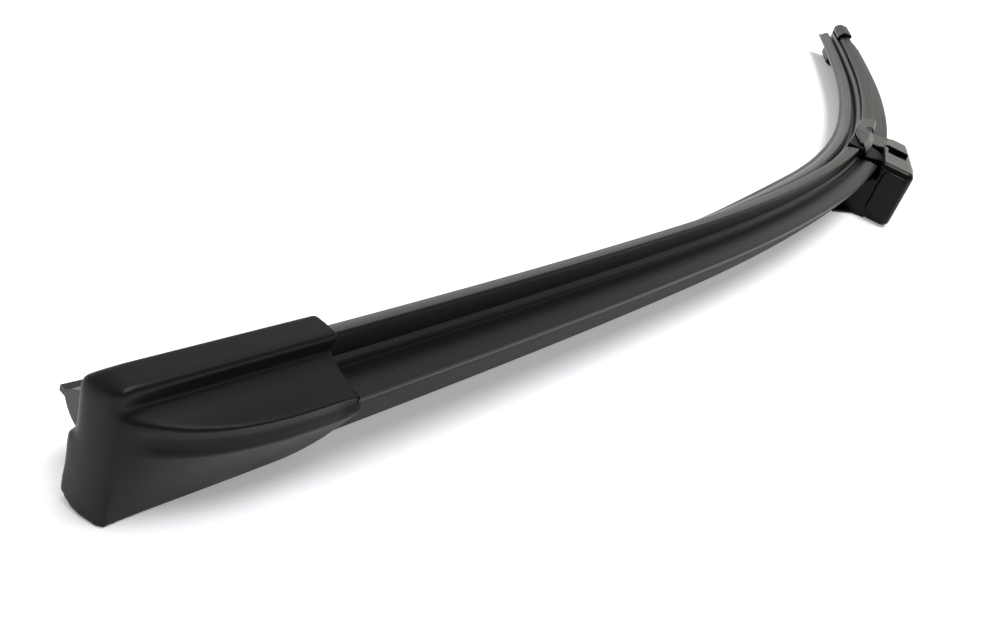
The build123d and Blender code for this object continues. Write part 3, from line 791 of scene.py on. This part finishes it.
def relaxed(holder, rounds, group=""):
    """Relax the holder's grid, all over or by the weights of a vertex group."""
    smooth = holder.modifiers.new("relax", "SMOOTH")
    smooth.factor = RELAX
    smooth.iterations = rounds
    smooth.vertex_group = group


def moulded(cad, name, rounds, plastic, mouth=None):
    """A copy of a CAD node with mould-rounded edges; a cap also gives its mouth."""
    keen = cad == "arm_adapter"
    mesh = frame["nodes"][cad].data.copy()
    work = bmesh.new()
    work.from_mesh(mesh)
    bmesh.ops.remove_doubles(work, verts=work.verts, dist=MERGE * MM)
    work.to_mesh(mesh)
    work.free()
    holder = placed(name + "_grid", mesh)
    grid = holder.modifiers.new("grid", "REMESH")
    grid.mode = "SHARP" if keen else "VOXEL"
    grid.octree_depth = KEEN_DEPTH
    grid.voxel_size = VOXEL * MM
    holder = baked(holder, name + "_holder")
    if mouth:
        blend_cap(holder, *mouth)
        relaxed(holder, WIDE_ROUNDS, "wide round")
    if keen:
        reach_down(holder)
    relaxed(holder, rounds)
    made = baked(holder, name)
    made.data.materials.clear()
    made.data.materials.append(plastic)
    print(name, len(made.data.polygons), "faces")
    return made


near_mouth = (-NEAR_LENGTH + CAP_LENGTH, -1)
far_mouth = (FAR_LENGTH - CAP_LENGTH, 1)
for cad, name, body, rounds, plastic, slot, mouth in (
    ("end_cap_near", "near_cap", "blade", CAP_ROUNDS, cap_plastic, "cap_plastic", near_mouth),
    ("end_cap_far", "far_cap", "blade", CAP_ROUNDS, cap_plastic, "cap_plastic", far_mouth),
    ("connector_cover", "cover", "blade", COVER_ROUNDS, cover_plastic, "cover_plastic", None),
    ("arm_adapter", "adapter_clip", "adapter", CLIP_ROUNDS, clip_plastic, "adapter_plastic", None),
):
    piece = moulded(cad, name, rounds, plastic, mouth)
    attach(piece, body)
    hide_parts(cad)

# %% [markdown]
# The rails, the bracket and the pin keep their solids: rolled and stamped steel has the edges
# it was cut with. They only get their metal.

# %% Steel pieces
for cad, finish in (
    ("spring_rail_front", spring_steel),
    ("spring_rail_rear", spring_steel),
    ("rail_bracket", coated_steel),
    ("pivot_pin", pin_steel),
):
    frame["nodes"][cad].data.materials.clear()
    frame["nodes"][cad].data.materials.append(finish)
    print(cad, "is", finish.name)

# %% [markdown]
# The table is a sheet of white paper. More light would make it white too, but it would wash out the
# blade. So the paper itself is lifted a little for the eye and for what mirrors it, and it still
# takes the blade's shadow.

# %% Table
SPAN = 6.0
PAPER_COLOR, PAPER_GLOW, PAPER_LIFT = "#f6f4f8", "#fdfbff", 0.3
corners = [(-SPAN, -SPAN, 0), (SPAN, -SPAN, 0), (SPAN, SPAN, 0), (-SPAN, SPAN, 0)]
sheet = bpy.data.meshes.new("table")
sheet.from_pydata(corners, [], [(0, 1, 2, 3)])
table = placed("table", sheet)
paper = bpy.data.materials.new("white paper")
paper.use_nodes = True
pulp = paper.node_tree
pulp.nodes.clear()
matte = node(pulp, "ShaderNodeBsdfDiffuse", {"Color": linear(PAPER_COLOR)})
rays = node(pulp, "ShaderNodeLightPath").outputs
mirrored = node(
    pulp,
    "ShaderNodeMath",
    {0: rays["Is Glossy Ray"], 1: rays["Is Transmission Ray"]},
    operation="ADD",
).outputs[0]
seen = node(pulp, "ShaderNodeMath", {0: rays["Is Camera Ray"], 1: mirrored}, operation="ADD")
lift = node(pulp, "ShaderNodeMath", {0: seen.outputs[0], 1: PAPER_LIFT}, operation="MULTIPLY")
glow = node(pulp, "ShaderNodeEmission", {"Color": linear(PAPER_GLOW), "Strength": lift.outputs[0]})
both = node(pulp, "ShaderNodeAddShader", {0: matte.outputs[0], 1: glow.outputs[0]})
node(pulp, "ShaderNodeOutputMaterial", {"Surface": both.outputs[0]})
sheet.materials.append(paper)
print("table of", 2 * SPAN, "m")

# %% [markdown]
# Black pieces show nothing but the room, so its levels decide how each of their faces reads. It is
# bright where the paper runs up to the horizon beyond the blade and dim on the side of the camera.
# Above the horizon lies a greyer band, and the ceiling is lighter again. A photograph of a room would
# light the blade too, but three smooth steps are enough, and each can be set by itself.

# %% Room
BRIGHT_SIDE = Vector((0.82, 0.57, 0.0))
DIM_FACING, BRIGHT_FACING, DIM_LEVEL, BRIGHT_LEVEL = -0.5, 0.8, 0.22, 1.1
BAND_LOW, BAND_HIGH, HORIZON_LEVEL, BAND_LEVEL = 0.16, 0.34, 1.0, 0.45
CEILING_LOW, CEILING_HIGH, CEILING_ADDED = 0.42, 0.62, 0.5
ROOM_COLOR = "#f8f8f3"
world = bpy.data.worlds.new("white room")
bpy.context.scene.world = world
world.use_nodes = True
sky = world.node_tree
sky.nodes.clear()
sight = node(sky, "ShaderNodeTexCoord").outputs["Generated"]
facing = node(sky, "ShaderNodeVectorMath", {0: sight, 1: BRIGHT_SIDE}, operation="DOT_PRODUCT")
rise = node(sky, "ShaderNodeSeparateXYZ", {0: sight}).outputs["Z"]
steps = []
for value, start, end, before, after in (
    (facing.outputs["Value"], DIM_FACING, BRIGHT_FACING, DIM_LEVEL, BRIGHT_LEVEL),
    (rise, BAND_LOW, BAND_HIGH, HORIZON_LEVEL, BAND_LEVEL),
    (rise, CEILING_LOW, CEILING_HIGH, 0.0, CEILING_ADDED),
):
    step = {"From Min": start, "From Max": end, "To Min": before, "To Max": after}
    made = node(
        sky, "ShaderNodeMapRange", {"Value": value, **step}, interpolation_type="SMOOTHSTEP"
    )
    steps.append(made.outputs[0])
around, band, ceiling = steps
upper = node(sky, "ShaderNodeMath", {0: band, 1: ceiling}, operation="ADD").outputs[0]
level = node(sky, "ShaderNodeMath", {0: around, 1: upper}, operation="MULTIPLY").outputs[0]
room = node(sky, "ShaderNodeBackground", {"Color": linear(ROOM_COLOR), "Strength": level})
node(sky, "ShaderNodeOutputWorld", {"Surface": room.outputs[0]})
print("room of", len(sky.nodes), "nodes")

# %% [markdown]
# Soft light comes from almost straight above, as from a ceiling panel, so the shadow is a narrow
# fringe. A wide sun gives the same softness all along the blade, where an area lamp would fall off.

# %% Ceiling panel
PANEL_LIGHT, PANEL_SPREAD = 2.3, 31
PANEL_AIM = Vector((-0.06, 0.17, -1.0))
lamp = bpy.data.lights.new("ceiling panel", "SUN")
lamp.energy = PANEL_LIGHT
lamp.angle = radians(PANEL_SPREAD)
panel = placed("ceiling panel", lamp)
panel.rotation_euler = PANEL_AIM.to_track_quat("-Z", "Y").to_euler()
print("panel", PANEL_SPREAD, "degrees wide")

# %% [markdown]
# The camera stands close to the near end and a little above it, which is why that end is so large.
# It could be aimed by eye, but its place, turn, lens and shift were fitted to the blade's edges in
# the photograph. Its three directions are written as the columns of its matrix.

# %% Camera
VIEW_RIGHT = Vector((0.3353068, -0.8726504, 0.3550361))
VIEW_UP = Vector((0.4099618, 0.4744540, 0.7789896))
VIEW_BACK = Vector((-0.8482338, -0.1156492, 0.5168410))
VIEW_FROM_PIVOT = Vector((-318.70331, 4.21591, 67.60312))
SENSOR, LENS, NEAR_CLIP = 36, 35.4134, 0.005
SHIFT_X, SHIFT_Y = -0.09852, 0.10635
camera = placed("camera", bpy.data.cameras.new("camera"))
eye = pivot + VIEW_FROM_PIVOT * MM
turned = Matrix((VIEW_RIGHT, VIEW_UP, VIEW_BACK)).transposed().to_4x4()
camera.matrix_world = Matrix.Translation(eye) @ turned
camera.data.sensor_width = SENSOR
camera.data.lens = LENS
camera.data.shift_x = SHIFT_X
camera.data.shift_y = SHIFT_Y
camera.data.clip_start = NEAR_CLIP
bpy.context.scene.camera = camera
bpy.context.scene.view_settings.view_transform = "Standard"
print("camera at", eye)
